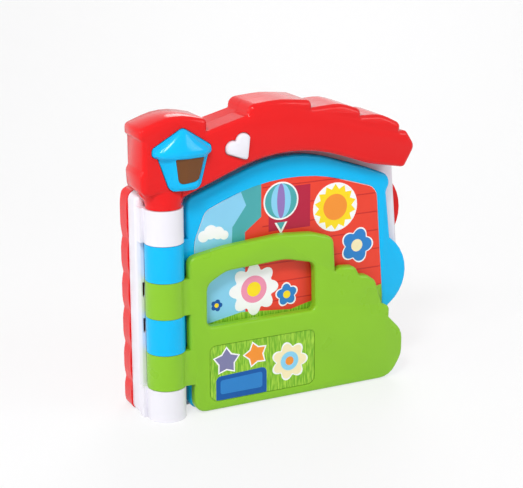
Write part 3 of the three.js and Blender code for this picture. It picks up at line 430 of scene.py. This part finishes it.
def balloon(artwork, x, z):
    """A striped balloon over a small basket, both with a white rim."""
    artwork.add(ink(PAPER_WHITE), disc(x, z, 14.2), star(x, z - 19, 6, points=3, turn=math.pi))
    artwork.add(ink(TEAL), disc(x, z, 13), star(x, z - 18, 4, points=3, turn=math.pi))
    artwork.add(ink(SKY), disc(x, z, 8, tall=1.62))
    artwork.add(ink(LILAC), disc(x, z, 3.2, tall=4.05))


def blossoms(artwork):
    """Four flowers: at the barn wall's right, in the window, and two in the meadow."""
    artwork.add(ink(PAPER_WHITE), flower(156, 108, 14.2, petals=5))
    artwork.add(ink(MID_BLUE), flower(156, 108, 13, petals=5))
    artwork.add(ink(CREAM), disc(156, 108, 4.8))
    artwork.add(ink(PAPER_WHITE), flower(70, 86, 20, petals=8))
    artwork.add(ink(PINK), disc(70, 86, 10.4))
    artwork.add(ink(SUN_YELLOW), disc(70, 86, 5.6))
    artwork.add(ink(PAPER_WHITE), flower(97, 78, 9.6, petals=5, turn=0.4))
    artwork.add(ink(MID_BLUE), flower(97, 78, 8.4, petals=5, turn=0.4))
    artwork.add(ink(SUN_YELLOW), disc(97, 78, 3))
    artwork.add(ink(DEEP_BLUE), flower(40, 78, 4.6, petals=5))
    artwork.add(ink(SUN_YELLOW), disc(40, 78, 1.7))


def farm_yard(artwork):
    """Sky and hill at the left, a barn wall at the right, a meadow below, a sun, flowers and a balloon."""
    hill = [(52, 110), (80, 90), (82, 180), (56, 170), (64, 150), (53, 135)]
    meadow = [(15, 62), (60, 70), (100, 66), (135, 74), (160, 70), (185, 76), (185, 0), (15, 0)]
    artwork.add(ink(SKY), strip(15, 75, 0, 180))
    artwork.add(ink(TEAL), hill)
    artwork.add(ink(PAPER_WHITE), *cloud(38, 131, 8.5))
    barn_boards(artwork)
    artwork.add(grass, meadow)
    sun(artwork, 137, 140)
    balloon(artwork, 92, 150)
    blossoms(artwork)


def sign_panel(artwork):
    """Grass with a bare blue sign, two stars and a flower."""
    sign_post = rounded_outline([(35, 0, 3), (76, 0, 3), (76, 28, 4), (35, 26.5, 4)])
    sign_board = rounded_outline([(38.5, 12.4, 2), (72.5, 12.4, 2), (72.5, 24.6, 2), (38.5, 23.2, 2)])
    artwork.add(grass, strip(20, 125, 0, 60))
    artwork.add(ink(DEEP_BLUE), sign_post)
    artwork.add(ink(MID_BLUE), sign_board)
    artwork.add(ink(PAPER_WHITE), star(43.5, 37.5, 11.4, depth=0.62))
    artwork.add(ink(SLATE), star(43.5, 37.5, 9.8, depth=0.6))
    artwork.add(ink(PAPER_WHITE), star(67, 39, 10.6, depth=0.62, turn=0.25))
    artwork.add(ink(ORANGE), star(67, 39, 9, depth=0.6, turn=0.25))
    artwork.add(ink(PAPER_WHITE), flower(95, 29, 15.4, petals=7))
    artwork.add(ink(CREAM), flower(95, 29, 14, petals=7))
    artwork.add(ink(SKY), disc(95, 29, 7.4))
    artwork.add(ink(ORANGE), disc(95, 29, 3.4))


for name, face, facing, limit, body, draw in (
    ("blue_front_artwork", BLUE_SHEET_FRONT, TO_FRONT, BLUE_SHEET, "blue_page", farm_yard),
    ("blue_back_artwork", BLUE_SHEET_BACK, TO_BACK, BLUE_SHEET, "blue_page", farm_yard),
    ("base_artwork", BASE_SHEET_FRONT, TO_FRONT, BLUE_SHEET, "base", farm_yard),
    ("green_front_artwork", GREEN_SHEET_FRONT, TO_FRONT, GREEN_SHEET, "green_page", sign_panel),
    ("green_back_artwork", GREEN_SHEET_BACK, TO_BACK, GREEN_SHEET, "green_page", sign_panel),
):
    sheet_print = Print(name, face, facing, limit, body)
    draw(sheet_print)
    sheet_print.finish()

# Floor that curves up into a backdrop, and how white it and the surround are
FLOOR_FRONT = -3.0
CURVE_START = 0.9
CURVE_RADIUS = 0.6
CURVE_STEPS = 12
BACKDROP_TOP = 3.5
SWEEP_HALF_WIDTH = 4.0
SWEEP_LEVEL = 0.86
SWEEP_ROUGHNESS = 0.6
SWEEP_GLOW = 0.7
SURROUND_LIGHT = 0.33


def looked_at(nodes, links):
    """1 for what is seen directly, in a reflection or through a lens, 0 for what only gives light."""
    paths = nodes.new("ShaderNodeLightPath")
    seen = paths.outputs["Is Camera Ray"]
    for kind in ("Is Glossy Ray", "Is Transmission Ray"):
        either = nodes.new("ShaderNodeMath")
        either.operation = "MAXIMUM"
        links.new(seen, either.inputs[0])
        links.new(paths.outputs[kind], either.inputs[1])
        seen = either.outputs["Value"]
    return seen


def sweep_material():
    """A pale matt surface that keeps shadows, and looks brighter than the light it gives."""
    material = bpy.data.materials.new("sweep_white")
    material.use_nodes = True
    nodes = material.node_tree.nodes
    links = material.node_tree.links
    shader = nodes["Principled BSDF"]
    shader.inputs["Base Color"].default_value = (SWEEP_LEVEL, SWEEP_LEVEL, SWEEP_LEVEL * 1.01, 1)
    shader.inputs["Roughness"].default_value = SWEEP_ROUGHNESS
    share = nodes.new("ShaderNodeMath")
    share.operation = "MULTIPLY"
    share.inputs[1].default_value = SWEEP_GLOW
    links.new(looked_at(nodes, links), share.inputs[0])
    glow = nodes.new("ShaderNodeEmission")
    mix = nodes.new("ShaderNodeMixShader")
    links.new(share.outputs["Value"], mix.inputs["Fac"])
    links.new(shader.outputs["BSDF"], mix.inputs[1])
    links.new(glow.outputs["Emission"], mix.inputs[2])
    links.new(mix.outputs["Shader"], nodes["Material Output"].inputs["Surface"])
    return material


def stage_sweep():
    profile = [(FLOOR_FRONT, 0.0), (CURVE_START, 0.0)]
    for step in range(1, CURVE_STEPS + 1):
        angle = math.pi / 2 * step / CURVE_STEPS
        across = CURVE_START + CURVE_RADIUS * math.sin(angle)
        profile.append((across, CURVE_RADIUS - CURVE_RADIUS * math.cos(angle)))
    profile.append((CURVE_START + CURVE_RADIUS, BACKDROP_TOP))
    sides = (-SWEEP_HALF_WIDTH, SWEEP_HALF_WIDTH)
    shape = bmesh.new()
    rows = [[shape.verts.new((x, y, z)) for x in sides] for y, z in profile]
    for near, far in zip(rows, rows[1:]):
        shape.faces.new((near[0], near[1], far[1], far[0]))
    mesh = bpy.data.meshes.new("sweep")
    shape.to_mesh(mesh)
    shape.free()
    mesh.shade_smooth()
    mesh.materials.append(sweep_material())
    sweep = bpy.data.objects.new("sweep", mesh)
    bpy.context.collection.objects.link(sweep)
    sweep.rotation_euler.z = -CAMERA_TURN


def white_world():
    """An even white surround: full white where it is seen, dimmer as light."""
    world = bpy.data.worlds.new("world")
    bpy.context.scene.world = world
    world.use_nodes = True
    nodes = world.node_tree.nodes
    links = world.node_tree.links
    dim = nodes["Background"]
    dim.inputs["Color"].default_value = (1, 1, 1, 1)
    dim.inputs["Strength"].default_value = SURROUND_LIGHT
    full = nodes.new("ShaderNodeBackground")
    full.inputs["Color"].default_value = (1, 1, 1, 1)
    full.inputs["Strength"].default_value = 1.0
    mix = nodes.new("ShaderNodeMixShader")
    links.new(looked_at(nodes, links), mix.inputs["Fac"])
    links.new(dim.outputs["Background"], mix.inputs[1])
    links.new(full.outputs["Background"], mix.inputs[2])
    links.new(mix.outputs["Shader"], nodes["World Output"].inputs["Surface"])


# Round lamps, all turned to the object's middle
LAMP_AIM = Vector((0.0, 0.0, 0.12))


def lamp(name, position, size, power):
    data = bpy.data.lights.new(name, "AREA")
    data.shape = "DISK"
    data.size = size
    data.energy = power
    lamp_object = bpy.data.objects.new(name, data)
    lamp_object.location = position
    direction = LAMP_AIM - Vector(position)
    lamp_object.rotation_euler = direction.to_track_quat("-Z", "Y").to_euler()
    bpy.context.collection.objects.link(lamp_object)


stage_sweep()
for name, position, size, power in (
    ("key", (-0.9, -1.0, 1.5), 0.45, 18.3),
    ("fill", (1.3, -1.3, 0.9), 1.0, 9),
    ("left", (-1.6, 0.1, 0.6), 0.8, 4.5),
    ("edge", (-0.75, -0.35, 0.85), 0.12, 1.2),
    ("back", (0.7, 1.1, 1.0), 0.8, 6),
):
    lamp(name, position, size, power)
white_world()

# Camera
camera_data = bpy.data.cameras.new("camera")
camera_data.sensor_width = SENSOR_WIDTH
camera_data.lens = FOCAL_PIXELS * SENSOR_WIDTH / PHOTO_WIDTH
camera = bpy.data.objects.new("camera", camera_data)
camera.location = place(*CAMERA_PLACE)
look = Vector((
    math.sin(CAMERA_TURN) * math.cos(CAMERA_DIP),
    math.cos(CAMERA_TURN) * math.cos(CAMERA_DIP),
    -math.sin(CAMERA_DIP),
))
camera.rotation_euler = look.to_track_quat("-Z", "Y").to_euler()
bpy.context.collection.objects.link(camera)
bpy.context.scene.camera = camera
bpy.context.scene.view_settings.view_transform = "Standard"
